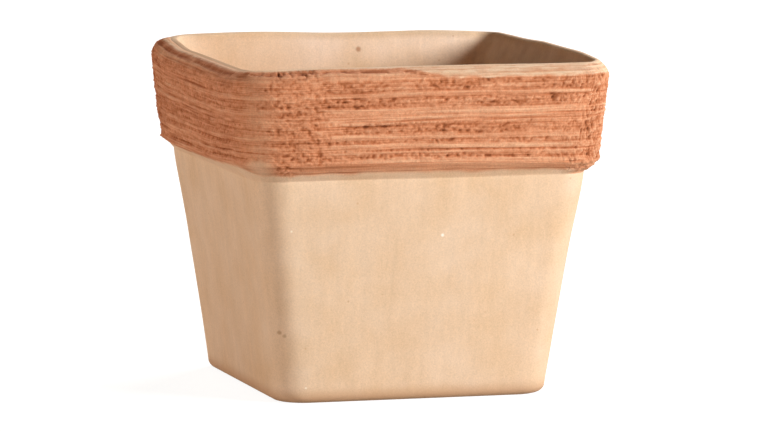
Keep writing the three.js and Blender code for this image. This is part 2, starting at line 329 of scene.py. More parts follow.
# %% [markdown]
# ## Combed terracotta
#
# The collar's face is the bare body: red clay dragged while it was leather-hard. Its ribs catch slip from the
# sponge and look paler, and the torn hollows stay dark and red. On top of that the colour follows the relief's
# height, as painted shade in the hollows and painted light on the ribs. Noise alone wouldn't know where the
# hollows are, so the mesh carries three values at each point: its tone, from a dark hollow at 0 to a pale rib at
# 1, with that painted shade and light in it, "slip", how much of the pale coat covers it, and "track", the place
# along and across the tool's path in millimetres, which the finest scrapes follow.

# %% Make the combed material
SCRAPE_SCALE = (1 / 42.0, 1 / 42.0, 1 / 1.05)  # one over a scrape's length and width in millimetres

comb_material, tree = new_material("combed_terracotta")
coat, grain = slip_coat(tree)
place = add_node(tree, "ShaderNodeTexCoord")
tone_and_painted_light = add_node(tree, "ShaderNodeAttribute", attribute_name="tone_and_painted_light")
slip = add_node(tree, "ShaderNodeAttribute", attribute_name="slip")
track = add_node(tree, "ShaderNodeAttribute", attribute_name="track")
drag = add_node(tree, "ShaderNodeMapping", {"Vector": track.outputs["Vector"], "Scale": SCRAPE_SCALE})
scrapes = add_node(tree, "ShaderNodeTexNoise", {
    "Vector": drag.outputs[0], "Scale": 1.0, "Detail": 2.0, "Roughness": 0.6})
scrape_tone = add_node(tree, "ShaderNodeMapRange", {
    "Value": scrapes.outputs["Fac"], "From Min": 0.3, "From Max": 0.7, "To Min": -0.13, "To Max": 0.13})
scraped = add_node(tree, "ShaderNodeMath", {
    0: tone_and_painted_light.outputs["Fac"], 1: scrape_tone.outputs[0]}, operation="ADD")
clay_colour = add_node(tree, "ShaderNodeValToRGB", {"Fac": scraped.outputs[0]})
ramp = clay_colour.color_ramp
ramp.elements[0].position = 0.05
ramp.elements[0].color = linear("7d4426")
ramp.elements[1].position = 0.95
ramp.elements[1].color = linear("efb890")
ramp.elements.new(0.34).color = linear("b56c45")
ramp.elements.new(0.60).color = linear("d69068")
clouds = add_node(tree, "ShaderNodeTexNoise", {
    "Vector": place.outputs["Object"], "Scale": per_mm(16), "Detail": 4.0, "Roughness": 0.65})
cloud_light = add_node(tree, "ShaderNodeMapRange", {
    "Value": clouds.outputs["Fac"], "From Min": 0.3, "From Max": 0.7, "To Min": 0.88, "To Max": 1.05})
grain_light = add_node(tree, "ShaderNodeMapRange", {
    "Value": grain, "From Min": 0.3, "From Max": 0.7, "To Min": 0.86, "To Max": 1.10})
light_product = add_node(tree, "ShaderNodeMath", {
    0: cloud_light.outputs[0], 1: grain_light.outputs[0]}, operation="MULTIPLY")
shaded_clay = add_node(tree, "ShaderNodeVectorMath", {
    0: clay_colour.outputs["Color"], "Scale": light_product.outputs[0]}, operation="SCALE")
thick_coat = add_node(tree, "ShaderNodeVectorMath", {0: coat, "Scale": 1.06}, operation="SCALE")
coated = add_node(tree, "ShaderNodeMix", {
    0: slip.outputs["Fac"], 6: shaded_clay.outputs[0], 7: thick_coat.outputs[0]}, data_type="RGBA")
grain_bump = add_node(tree, "ShaderNodeBump", {"Height": grain, "Strength": 0.5, "Distance": 0.0008})
comb_surface = add_node(tree, "ShaderNodeBsdfPrincipled", {
    "Base Color": coated.outputs[2], "Roughness": 0.95, "IOR": 1.45, "Specular IOR Level": 0.2,
    "Normal": grain_bump.outputs[0]})
add_node(tree, "ShaderNodeOutputMaterial", {"Surface": comb_surface.outputs[0]})
print("made", comb_material.name)

# %% [markdown]
# ## Sweeping a section round a square
#
# Walls, floor cove and collar all have the same plan: a square with round corners that grows towards the rim.
# So each is a section, drawn once, extruded along a side and spun round a corner. A bevelled curve could sweep it
# too, but here each row of points has to be known by its number later on. Sweeping is done as if the walls stood
# upright. Then every point is moved to its real place in plan, which depends on its height, on how far out of
# the wall it is, and on how round that corner of this hand-built pot turned out. Lengths are in millimetres until
# a piece is finished.

# %% The pot's sizes
HEIGHT = 260.0
FOOT_HALF = 109.0  # from the axis to a wall's outer face at the ground
RIM_HALF = 142.5  # and at the rim
CORNER = 22.0  # the walls' outside corner radius
INSIDE_CORNER = 20.0  # the inside corner's radius, which the seam coils make
LIP_CORNER = {(1, -1): 10.0, (1, 1): 9.0, (-1, 1): 22.0, (-1, -1): 12.0}  # and at the lip, by corner
WALL = 13.0
FLOOR = 15.0
FLARE = 1.3  # how far the walls flare out under the collar
FLARE_FROM, FLARE_TO = 110.0, 175.0  # heights
STRAIGHT = FOOT_HALF - CORNER  # half of a side's straight stretch in the upright sweep


def smooth_step(low, high, value):
    """0 at low, 1 at high, and an even curve between; low may be the larger."""
    x = min(max((value - low) / (high - low), 0.0), 1.0)
    return x * x * (3.0 - 2.0 * x)


def window(low, high, soft, value):
    """1 between low and high and 0 outside, with soft ends."""
    return smooth_step(low - soft, low + soft, value) * smooth_step(high + soft, high - soft, value)


def wall_half(z):
    """From the axis to a wall's outer face at height z."""
    return FOOT_HALF + (RIM_HALF - FOOT_HALF) * z / HEIGHT


def outer_half(z):
    """The same with the slight flare under the collar."""
    return wall_half(z) + FLARE * smooth_step(FLARE_FROM, FLARE_TO, z)


print("a side's straight stretch is", 2 * STRAIGHT, "mm at the ground")

# %% Sweep helpers


def spread(first, last, count):
    """count values from first to last, both included."""
    return [first + (last - first) * i / (count - 1) for i in range(count)]


def start_section(bm, section, closed):
    """A section's points, each (outwards from the wall's face, height), at the left end of the front side."""
    row = bm.verts.layers.int.new("row")
    points = []
    for index, (outwards, z) in enumerate(section):
        point = bm.verts.new((-STRAIGHT, -(FOOT_HALF + outwards), z))
        point[row] = index
        points.append(point)
    pairs = list(zip(points, points[1:]))
    if closed:
        pairs.append((points[-1], points[0]))
    return [bm.edges.new(pair) for pair in pairs]


def extrude_along(bm, edges, direction, length, steps):
    """Extrudes a section's edges along a straight side, and returns the section at its far end."""
    for _ in range(steps):
        made = bmesh.ops.extrude_edge_only(bm, edges=edges)["geom"]
        points = [part for part in made if isinstance(part, bmesh.types.BMVert)]
        bmesh.ops.translate(bm, verts=points, vec=direction * (length / steps))
        edges = [part for part in made if isinstance(part, bmesh.types.BMEdge) and part.is_boundary]
    return edges


def spin_corner(bm, edges, centre, angle, steps):
    """Spins a section's edges round an upright axis, and returns the section where it ends."""
    points = list(dict.fromkeys(point for edge in edges for point in edge.verts))
    made = bmesh.ops.spin(bm, geom=points + edges, cent=centre, axis=(0, 0, 1), dvec=(0, 0, 0),
                          angle=angle, steps=steps, use_merge=False, use_duplicate=False)["geom_last"]
    return [part for part in made if isinstance(part, bmesh.types.BMEdge)]


def sweep_square(bm, section, closed, side_steps, corner_steps):
    """Sweeps a section all the way round the pot and joins its two ends."""
    edges = start_section(bm, section, closed)
    for quarter in range(4):
        turn = Matrix.Rotation(quarter * math.pi / 2, 3, "Z")
        edges = extrude_along(bm, edges, turn @ Vector((1, 0, 0)), 2 * STRAIGHT, side_steps)
        edges = spin_corner(bm, edges, turn @ Vector((STRAIGHT, -STRAIGHT, 0)), math.pi / 2, corner_steps)
    bmesh.ops.remove_doubles(bm, verts=bm.verts, dist=0.001)
    bmesh.ops.recalc_face_normals(bm, faces=bm.faces)


print("heights of a section of three rows:", spread(0.0, HEIGHT, 3))

# %% [markdown]
# ## A hand-built plan
#
# No two corners of the rim are equally round, the rim isn't quite level, the lip is thinner along the right
# side, and every face wanders a little. A sculptor's brush could push the mesh about. Here each unevenness is a
# few numbers that are blended smoothly, so every piece of the pot follows the same ones. A place round the pot is
# counted in sides: 0 is the middle of the front, 1 the middle of the right, 2 the back and 3 the left, so the
# corners are at the halves.

# %% Where a swept point really lies
EXTRA_ROUND = {(1, -1): 6.0, (1, 1): 4.0, (-1, 1): 6.0, (-1, -1): 1.0}  # by corner, at the collar
RIM_RISE = (  # the rim's height over true at each quarter of a side, four to a row: front, right, back and left
    -0.1, -0.6, -0.3, 2.4,
    2.0, -0.1, -1.3, 1.0,
    0.6, 2.2, 1.4, -4.2,
    -4.8, -4.8, -1.6, -0.9,
)
COLLAR_DROP = (0.0, 2.5, 2.0, 0.0, 0.0, 4.0, 3.0, 0.0)  # how much lower the collar's edge hangs, at each half side
STRAIGHT_SHARE = 0.82  # of a side's length, the rest being its two half corners


def corner_radius(outwards, z, corner):
    """The plan radius of one corner at a distance out of the wall's face and a height."""
    within = min(max(-outwards / WALL, 0.0), 1.0)
    inner = INSIDE_CORNER + (LIP_CORNER[corner] - INSIDE_CORNER) * smooth_step(210.0, 245.0, z)
    plain = CORNER + max(outwards, 0.0) + (inner - CORNER) * within
    return plain + EXTRA_ROUND[corner] * smooth_step(160.0, 200.0, z) * (1.0 - within)


def plan_place(x, y, z, outwards):
    """An upright swept point's real plan place, the direction out of the pot there, and its place round the pot."""
    half = wall_half(z) + outwards
    right, back = (1 if x > 0 else -1), (1 if y > 0 else -1)
    past_x, past_y = abs(x) - STRAIGHT, abs(y) - STRAIGHT
    if past_x > 1e-4 and past_y > 1e-4:
        out = Vector((right * past_x, back * past_y)).normalized()
        radius = corner_radius(outwards, z, (right, back))
        place = Vector((right, back)) * (half - radius) + out * radius
        turn = math.atan2(past_y, past_x) / (math.pi / 2)
        corner_at = {(1, -1): 0.5, (1, 1): 1.5, (-1, 1): 2.5, (-1, -1): 3.5}[(right, back)]
        forward = 0.5 - turn if right * back < 0 else turn - 0.5
        return place, out, corner_at + forward * (1.0 - STRAIGHT_SHARE)
    if past_y >= past_x:
        share = (x / STRAIGHT + 1.0) / 2.0
        low = half - corner_radius(outwards, z, (-1, back))
        high = half - corner_radius(outwards, z, (1, back))
        place = Vector((-low + (low + high) * share, back * half))
        around = (2.0 if back > 0 else 0.0) - back * (share - 0.5) * STRAIGHT_SHARE
        return place, Vector((0.0, back)), around % 4.0
    share = (y / STRAIGHT + 1.0) / 2.0
    low = half - corner_radius(outwards, z, (right, -1))
    high = half - corner_radius(outwards, z, (right, 1))
    place = Vector((right * half, -low + (low + high) * share))
    around = (1.0 if right > 0 else 3.0) + right * (share - 0.5) * STRAIGHT_SHARE
    return place, Vector((right, 0.0)), around


print("the rim is", min(RIM_RISE), "to", max(RIM_RISE), "mm over true")

# %% The lip's thinness, the rim's rise and small wanderings
THINNED = 8.0  # how much thinner the lip is along the right side
WANDER_LENGTH = 130.0  # of the slow wanderings, and how far they go
WANDER = 0.8
FINER = 3.3  # how much shorter the quicker ones are, and how far they go
FINER_WANDER = 0.3
WANDER_SHIFTS = (Vector((0.0, 0.0, 0.0)), Vector((31.7, 5.3, 12.9)), Vector((7.1, 43.2, 25.8)))


def thinning(half, z, around):
    """How far the right side's lip is pressed outwards, most at its inner edge."""
    inwards = smooth_step(149.0, 131.0, half) * smooth_step(232.0, 258.0, z)
    return THINNED * inwards * window(0.5, 1.5, 0.12, around)


def around_value(values, around):
    """One of a ring of evenly spaced values, blended smoothly, at a place round the pot."""
    at = (around % 4.0) * len(values) / 4.0
    index = int(at)
    blend = smooth_step(0.0, 1.0, at - index)
    return values[index % len(values)] * (1.0 - blend) + values[(index + 1) % len(values)] * blend


def slow_wander(here):
    """A small vector that changes slowly from place to place, the same in every run."""
    return Vector([noise.noise(here + shift) for shift in WANDER_SHIFTS])


def settle(place, out, outwards, z, around):
    """A point in its place on the hand-built pot: the rim's rise, and small slow wanderings above the ground."""
    place = place + out * thinning(wall_half(z) + outwards, z, around)
    rise = around_value(RIM_RISE, around) * smooth_step(150.0, HEIGHT, z)
    spot = Vector((place.x, place.y, z + rise))
    here = spot / WANDER_LENGTH
    wander = slow_wander(here) * WANDER + slow_wander(here * FINER) * FINER_WANDER
    return spot + wander * smooth_step(0.0, 12.0, z)


print("the rim's rise at the back left corner:", around_value(RIM_RISE, 2.5), "mm")

# %% [markdown]
# A finished piece rides on the pot's one body, stands in for the solids it covers, and takes the material it is
# given. Its faces are shaded smoothly one by one, which keeps the edges that were marked sharp.

# %% Finishing a piece


def finish_piece(bm, name, material, nodes):
    """Turns a mesh in millimetres into a smooth-shaded piece of the pot that stands for some CAD nodes."""
    bmesh.ops.scale(bm, vec=(1 / METRE, 1 / METRE, 1 / METRE), verts=bm.verts)
    for face in bm.faces:
        face.smooth = True
    mesh = bpy.data.meshes.new(name)
    bm.to_mesh(mesh)
    bm.free()
    mesh.materials.append(material)
    piece = bpy.data.objects.new(name, mesh)
    scene.collection.objects.link(piece)
    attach(piece, "root")
    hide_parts(*nodes)
    print(name, "has", len(mesh.polygons), "faces")
    return piece


print("solids to stand in for:", len(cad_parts))

# %% [markdown]
# ## The lip
#
# The rim is highest along its inner edge. From that crest the lip slopes outwards and down over wall and collar
# to a soft edge above the collar's face. Both pieces take their own stretch of this profile and meet just
# outside the crest, so that no seam shows.

# %% The lip's profile
CREST = 133.5  # half-width at the highest line of the lip
LIP_JOINT = 135.0  # half-width where the wall's stretch ends and the collar's starts
COLLAR_HALF = 150.0  # the collar's face, under its upper edge
LIP_FALL = 4.5  # from the crest to where slope and face would meet
UPPER_EDGE = 9.0  # how far from there the soft edge starts, on the slope and on the face
LIP_INNER_EDGE = 2.5  # how far the crest is rounded into the cavity's wall


def lip_z(half):
    """The lip's height at a half-width from the crest outwards."""
    return HEIGHT - LIP_FALL * (half - CREST) / (COLLAR_HALF - CREST)


def upper_edge(share):
    """The soft edge between slope and face, a curve from 0 on the slope to 1 on the face, as (half-width, height)."""
    corner_z = HEIGHT - LIP_FALL
    slope_end, face_start = COLLAR_HALF - UPPER_EDGE, corner_z - UPPER_EDGE
    a, b, c = (1 - share) ** 2, 2 * share * (1 - share), share ** 2
    return a * slope_end + (b + c) * COLLAR_HALF, a * lip_z(slope_end) + b * corner_z + c * face_start


def inner_lip():
    """The crest's flat, and its rounded inner edge down to the cavity's wall."""
    cavity = wall_half(HEIGHT - LIP_INNER_EDGE) - WALL
    edge = [(cavity + LIP_INNER_EDGE * (1 - math.sin(a)), HEIGHT - LIP_INNER_EDGE * (1 - math.cos(a)))
            for a in spread(0.0, math.pi / 2, 7)]
    return [(CREST, HEIGHT)] + edge


def as_section(points):
    """(half-width, height) points as (outwards from the wall's face, height)."""
    return [(half - wall_half(z), z) for half, z in points]


print("wall and collar meet at", LIP_JOINT, "and", round(lip_z(LIP_JOINT), 2), "mm")

# %% [markdown]
# ## The walls
#
# The four slabs, the coils in their inside corners and the lip are one skin on the fired pot, so they are one
# piece here. Its section goes from the ground round the foot's soft edge, up the outer face, over the lip and
# down the inside. Two values go with each point. One is painted light, which makes the coat paler towards the rim
# inside and less so towards the back left. The other says how thin the coat is along the left lip and in patches
# on the inside of the right wall, and carries painted shade on the foot's edge and further down inside. The line
# where the collar takes over is marked sharp: past it the skin dives out of sight, and smooth shading would
# darken the lip along it.

# %% Model the walls
FOOT_EDGE = 6.0
COLLAR_FOOT_Z = 173.0  # the wall shows below this height
HIDDEN_TOP = 236.0  # and is plain up to this one, behind the collar
TUCKED = (LIP_JOINT + 1.0, 248.0)  # where it goes in under the lip

foot = [(wall_half(z) - FOOT_EDGE * (1 - math.sin(a)), z)
        for a in spread(0.0, math.pi / 2, 8) for z in [FOOT_EDGE * (1 - math.cos(a))]]
face = [(outer_half(z), z) for z in spread(FOOT_EDGE, COLLAR_FOOT_Z, 68)[1:]]
hidden = [(wall_half(z), z) for z in spread(COLLAR_FOOT_Z, HIDDEN_TOP, 6)[1:]] + [TUCKED]
lip = [(LIP_JOINT, lip_z(LIP_JOINT))] + inner_lip()
inside_wall = [(wall_half(z) - WALL, z) for z in spread(lip[-1][1], 0.0, 64)[1:]]
wall_section = as_section(foot + face + hidden + lip + inside_wall)
first_inside_row = len(wall_section) - len(inside_wall)
joint_row = first_inside_row - len(lip)

bm = bmesh.new()
sweep_square(bm, wall_section, closed=True, side_steps=58, corner_steps=12)
row_of = bm.verts.layers.int["row"]
for edge in bm.edges:
    edge.smooth = any(point[row_of] != joint_row for point in edge.verts)
inside_painted_light_of = bm.verts.layers.float.new("inside_painted_light")
worn_and_painted_shade_of = bm.verts.layers.float.new("worn_and_painted_shade")
for point in bm.verts:
    x, y, z = point.co
    outwards = wall_section[point[row_of]][0]
    place, out, around = plan_place(x, y, z, outwards)
    left_lip = window(2.6, 3.45, 0.05, around) * smooth_step(250.0, 258.0, z)
    if point[row_of] < first_inside_row:
        # Painted shade: the foot's last millimetres take the worn colour, as shade near the ground. Along the left
        # lip it is real wear.
        point[worn_and_painted_shade_of] = max(0.75 * smooth_step(14.0, 3.0, z), 0.6 * left_lip)
    else:
        # Painted light: the coat inside is painted paler towards the rim, and less so towards the back left.
        point[inside_painted_light_of] = smooth_step(216.0, 256.0, z) * (1.0 - 0.8 * smooth_step(1.9, 2.5, around))
        # Painted shade: darker further down inside. The patches on the right wall are real wear.
        patches = max(0.15 + noise.noise(Vector((place.x / 16, place.y / 16, z / 10))), 0.0)
        point[worn_and_painted_shade_of] = 0.2 * smooth_step(255.0, 228.0, z) + 0.4 * patches * window(0.55, 1.4, 0.1, around)
    point.co = settle(place, out, outwards, z, around)
finish_piece(bm, "slip_coated_walls", slip_material, [
    "front_wall", "right_wall", "back_wall", "left_wall",
    "front_right_seam_coil", "back_right_seam_coil", "back_left_seam_coil", "front_left_seam_coil"])

# %% [markdown]
# ## The floor
#
# The floor slab lies between the walls. A coil of clay is thumbed into its seam, so its top curves up into the
# walls, and a drain hole with softened edges goes through its middle. The rim of the slab is swept, the hole's
# edge is spun, and two bridges close the slab between them, above and below, so nothing has to be cut.

# %% Model the floor
COVE = 8.5
DRAIN_RADIUS = 14.0
DRAIN_EDGE = 2.0
SINK = 0.4  # how far a thin edge runs into the wall that it meets
SLAB_GAP = 0.3  # between the slab's foot and the walls

cove = [(wall_half(z) - WALL + SINK - COVE * (1 - math.sin(a)), z)
        for a in spread(math.pi / 2, 0.0, 8) for z in [FLOOR + COVE * (1 - math.cos(a))]]
under_edge = [(wall_half(0.0) - WALL - SLAB_GAP, 0.0)]
floor_section = as_section(under_edge + cove)
bm = bmesh.new()
sweep_square(bm, floor_section, closed=False, side_steps=12, corner_steps=6)
row_of = bm.verts.layers.int["row"]
for point in bm.verts:
    x, y, z = point.co
    place = plan_place(x, y, z, floor_section[point[row_of]][0])[0]
    point.co = (place.x, place.y, z)
drain = [(DRAIN_RADIUS + DRAIN_EDGE, 0.0), (DRAIN_RADIUS, DRAIN_EDGE), (DRAIN_RADIUS, FLOOR - DRAIN_EDGE),
         (DRAIN_RADIUS + DRAIN_EDGE, FLOOR)]
drain_points = [bm.verts.new((radius, 0.0, z)) for radius, z in drain]
drain_edges = [bm.edges.new(pair) for pair in zip(drain_points, drain_points[1:])]
bmesh.ops.spin(bm, geom=drain_points + drain_edges, cent=(0, 0, 0), axis=(0, 0, 1), dvec=(0, 0, 0),
               angle=2 * math.pi, steps=72, use_merge=True, use_duplicate=False)
for z in (0.0, FLOOR):
    loops = [edge for edge in bm.edges if edge.is_boundary and all(abs(v.co.z - z) < 0.01 for v in edge.verts)]
    bmesh.ops.bridge_loops(bm, edges=loops)
bmesh.ops.recalc_face_normals(bm, faces=bm.faces)
finish_piece(bm, "drained_floor", slip_material, ["floor_slab", "floor_seam_coil"])

# %% [markdown]
# ## The combed collar
#
# Each side's strip is swept from the middle of one corner to the middle of the next, with a point about every
# two thirds of a millimetre, so that the torn clay is real geometry. A bump in the material would look flat along
# the outline. The tool's edge leaves the same marks at the same depths below the rim all the way round: thin
# grooves, smooth ribs, rows of pits, and bands where the clay tore. Slow noise makes the marks wander, and finer
# noise breaks them up. All of it is read from places on one circle, so neighbouring strips agree where they meet.

# %% The tool's marks
GROOVES = (19.8, 24.0, 37.9, 41.7, 45.3, 56.3, 63.9, 69.0)  # how far each is below the crest, in millimetres
RIBS = (21.9, 34.6, 39.8, 53.4, 60.9, 65.7, 71.6)
PIT_ROWS = (26.5, 29.5, 43.5, 47.0, 49.6, 57.3, 64.2, 69.2)
TORN_BANDS = ((10.0, 19.5), (23.8, 32.0), (44.5, 52.0), (55.5, 59.0), (66.8, 70.8))
GROOVE_WIDTH, GROOVE_DEPTH = 0.5, 0.9
RIB_WIDTH, RIB_HEIGHT = 0.8, 0.7
PIT_WIDTH, PIT_DEPTH = 0.8, 1.8
BAND_DEPTH = 0.5
LINE_HEIGHT = 0.46  # of the scrape lines between them
CRUMB_HEIGHT = 0.2
KNOB_HEIGHT = 0.8  # of the lumps in torn clay


def wave(x, y, z):
    """Smooth noise, mostly from -0.6 to 0.6.

    A caller divides x and y by a mark's length along the collar and z by its width, in millimetres. A number
    added to z, or in place of it, picks another pattern.
    """
    return noise.noise(Vector((x, y, z)))


def hump(centre, width, value):
    """A smooth hump of height 1 round a centre."""
    return math.exp(-((value - centre) / width) ** 2)


print(len(GROOVES), "grooves,", len(RIBS), "ribs,", len(PIT_ROWS), "rows of pits and", len(TORN_BANDS), "torn bands")

# %% [markdown]
# In the next functions x and y are a place on that circle, "drawn" is the depth below the crest along the
# wandering track of the tool, and "at" is the place round the pot again, now from -2 to 2: the front left corner
# is at -0.5, the front right at 0.5 and the back left at -1.5. The clay tore most at those corners, where the tool
# slowed down to turn.

# %% Lines, knobs, grooves, ribs and pits


def torn_share(at, x, y, drawn):
    """How far the clay tore: in bands under the tool's coarse teeth, in lumps by one corner and at two others."""
    bands = max(window(low, high, 1.0, drawn) for low, high in TORN_BANDS)
    bands *= (0.85 + 0.7 * wave(x / 45, y / 45, drawn / 8)) * (1.0 - 0.6 * window(-1.35, -0.47, 0.04, at))
    lumpy = 0.8 * window(-0.45, -0.30, 0.03, at)
    ends = 0.9 * max(hump(0.49, 0.07, at), hump(-1.48, 0.09, at))
    return min(max(bands, lumpy, ends), 1.0)


def dragged_relief(at, x, y, drawn, torn):
    """Scrape lines where the tool ran smoothly, knobs and pits where the clay tore, and grooves and ribs."""
    lines = (wave(x / 120, y / 120, drawn / 1.1) + wave(x / 150, y / 150, drawn / 2.3 + 40.0)
             + 0.5 * wave(x / 60, y / 60, drawn / 0.8 + 80.0))
    upright = 1.0 + hump(0.48, 0.06, at)
    knob = (0.95 * wave(x * upright / 3.2, y * upright / 3.2, drawn / (2.5 * upright))
            + 0.6 * wave(x / 1.7, y / 1.7, drawn / 1.5 + 11.0) + 0.5 * wave(x / 7, y / 7, drawn / 4 + 23.0))
    crumbs = wave(x / 1.4, y / 1.4, drawn / 1.2 + 51.0)
    height = (1.0 - 0.4 * torn) * LINE_HEIGHT * lines + CRUMB_HEIGHT * crumbs - BAND_DEPTH * torn
    height += torn * upright * KNOB_HEIGHT * (knob - max(-knob - 0.25, 0.0)) + (1.0 - torn) * 0.25 * knob
    plain = 1.0 - 0.8 * window(-0.46, -0.30, 0.04, at)
    for groove in GROOVES:
        kept = max(0.5 + 0.9 * wave(x / 32, y / 32, groove * 1.7), 0.0)
        height -= GROOVE_DEPTH * plain * kept * hump(groove, GROOVE_WIDTH, drawn)
    for rib in RIBS:
        kept = max(0.5 + 0.9 * wave(x / 40, y / 40, rib * 1.3), 0.0)
        dashes = 0.7 + 0.6 * wave(x / 6, y / 6, rib * 2.3)
        height += RIB_HEIGHT * plain * kept * dashes * hump(rib, RIB_WIDTH, drawn)
    for row in PIT_ROWS:
        pits = max(wave(x / 2.2, y / 2.2, row * 3.1) - 0.05, 0.0)
        height -= PIT_DEPTH * plain * pits * hump(row, PIT_WIDTH, drawn)
    return height, lines, knob, crumbs


print("relief in one place:", round(dragged_relief(0.0, 10.0, 20.0, 30.0, 0.5)[0], 2), "mm")

# %% [markdown]
# Down any line from the crest the strip changes: first the lip that the sponge wiped, then a seam that is open in
# places and a burr beside it, then the combed face, its lower edge with ragged ends at three corners, and the
# underside that a thumb rubbed smooth. One function follows that line, and gives the height, the tone and the
# slip's cover of each point on it.

# %% The collar from crest to underside
LEDGE = 6.3  # how far below the crest the burr along the lip's outer edge is
LOWER_EDGE = 73.0
UNDERSIDE_LINE = 80.0
RING_RADIUS = 180.0  # of the circle that the noise is read from


def tool_marks(around, depth):
    """The clay's height over the plain face, its tone, how much slip covers it, and its place on the track."""
    turn = around * math.pi / 2
    x, y = RING_RADIUS * math.cos(turn), RING_RADIUS * math.sin(turn)
    at = (around + 2.0) % 4.0 - 2.0
    near_corner = hump(-0.495, 0.04, at)
    left_side = window(-1.46, -0.53, 0.04, at)
    drawn = depth + 0.6 * wave(x / 85, y / 85, 0.5) + 0.25 * wave(x / 24, y / 24, depth / 30)

    # The sponge wiped the lip more and more from the middle of the front to the right, and only its crest elsewhere.
    wiped = smooth_step(-0.09, 0.09, at) * smooth_step(1.9, 1.3, at)
    wiped_to = 1.1 + 8.4 * wiped + 1.6 * left_side + (0.5 + 1.2 * wiped) * wave(x / 9, y / 9, 3.0)
    lowest = LOWER_EDGE - 5.0 * near_corner + 1.2 * wave(x / 6, y / 6, 9.0)
    worked = smooth_step(wiped_to - 0.5, wiped_to + 1.0, depth) * smooth_step(lowest + 2.5, lowest, depth)
    torn = torn_share(at, x, y, drawn)
    ragged_end = window(-0.455, -0.39, 0.02, at) * window(66.0, 81.0, 1.5, depth + 3.0 * wave(x / 5, y / 5, 2.0))
    torn = max(torn, ragged_end)
    height, lines, knob, crumbs = dragged_relief(at, x, y, drawn, torn)
    height *= 1.0 - 0.3 * near_corner
    # Painted shade and painted light: the tone follows the relief's height, darker in the hollows and paler on the
    # ribs. At the front left corner it is painted paler, a painted highlight down the round corner.
    tone_and_painted_light = 0.66 + 0.30 * height - 0.04 * torn + 0.05 * near_corner + 0.03 * hump(0.47, 0.08, at)
    # Painted shade: the left side is painted a little darker, with random clouds of tone on it.
    tone_and_painted_light += left_side * (0.16 * wave(x / 16, y / 16, drawn / 3.0 + 30.0) - 0.07)

    # Where no sponge closed it, the seam along the lip tore open, and a burr stands along the lip's outer edge.
    open_seam = smooth_step(0.04, -0.04, at) * smooth_step(-1.6, -1.5, at)
    patchy = smooth_step(-0.3, 0.1, wave(x / 13, y / 13, 8.0) + 0.5 * wave(x / 4, y / 4, depth / 2))
    seam = open_seam * window(0.8, 3.4, 0.6, depth - wiped_to) * patchy * (1.0 - 0.45 * left_side)
    ledge = open_seam * hump(LEDGE, 0.8, drawn) * max(0.6 + 0.8 * wave(x / 25, y / 25, 6.0), 0.0)
    height += 0.6 * ledge - seam * (0.5 + 0.4 * crumbs)
    tone_and_painted_light += 0.22 * ledge - 0.30 * seam

    # Below the edge the underside is rubbed smooth, with faint lines and one dark one. From the middle of the front
    # leftwards round to the middle of the back it is painted darker, as painted shade.
    below = smooth_step(LOWER_EDGE, LOWER_EDGE + 2.0, depth) * (1.0 - ragged_end)
    line = hump(UNDERSIDE_LINE, 0.5, drawn) * max(0.5 + 0.9 * wave(x / 30, y / 30, 14.0), 0.0)
    height = height * max(worked, ragged_end) + below * (0.12 * lines - 0.5 * line)
    shaded = 0.69 - 0.10 * smooth_step(-0.05, -0.3, at)
    tone_and_painted_light = tone_and_painted_light * (1.0 - below) + below * (shaded + 0.12 * lines - 0.3 * line)
    hanging = window(0.42, 0.54, 0.02, at) * (0.8 + 1.8 * knob)
    hanging += window(-1.56, -1.40, 0.03, at) * (0.2 + 0.8 * knob)
    height += hanging * window(72.0, 84.0, 1.5, depth)
    height -= 2.2 * hump(-1.5, 0.12, at) * window(61.0, 82.0, 4.0, depth)

    # The left side's lip is level for its first few millimetres, and falls off after that.
    height += 1.5 * left_side * smooth_step(0.0, 2.2, depth) * smooth_step(6.5, 2.4, depth)

    # Slip covers what the sponge wiped, less where it rubbed off again, and the foot of the underside.
    lip_cover = smooth_step(wiped_to + 0.6, wiped_to - 0.6, depth + 0.8 * crumbs) * (1.0 - seam)
    rubbed_off = smooth_step(0.0, 0.4, wave(x / 12, y / 12, depth / 1.4 + 70.0) + 0.4 * wave(x / 4, y / 4, depth))
    lip_cover *= 1.0 - 0.5 * window(-0.09, 0.52, 0.04, at) * rubbed_off
    pale_from = UNDERSIDE_LINE - 0.5 - 4.5 * left_side
    pale_foot = smooth_step(pale_from, pale_from + 3.5, depth + 1.5 * wave(x / 14, y / 14, 5.0))
    pale_foot = max(pale_foot, 0.6 * smooth_step(lowest, lowest + 4.0, depth) * near_corner)
    pale_foot *= 1.0 - 0.8 * window(0.44, 0.54, 0.02, at)
    slip_cover = max(lip_cover * (0.68 + 0.5 * lines), 0.9 * pale_foot) * (1.0 - ragged_end)
    return height, min(max(tone_and_painted_light, 0.0), 1.0), min(max(slip_cover, 0.0), 1.0), (x, y, drawn)


print("tone in the middle of the front:", [round(tool_marks(0.0, depth)[1], 2) for depth in (20.0, 40.0, 60.0)])

# %% [markdown]
# The strip's section runs from the joint on the lip down the shoulder and the face, round the lower edge and
# along the slanted underside, where it runs out on the wall, and back up behind. Each strip is swept a little
# past its corners' middles while its surface is worked, so that the shading there knows of the neighbour, and
# is then trimmed to the mitre.

# %% Draw the collar's section
LOWER_Z = 187.0  # height of the face's lower edge, and how far that stands out of the wall
LOWER_PROJECTION = 11.5
UNDERSIDE_HEIGHT = 11.5
UNDERSIDE_FILLET = 3.0  # the height over which the underside eases on to the wall, and how far out it starts
FILLET_START = 1.0
BACK_GAP = 0.15  # between the strip's back and the wall
BACK_TOP = 247.0
DEPTH_PER_OUTWARDS = 0.124  # how much a millimetre outwards counts as depth, as seen from the front

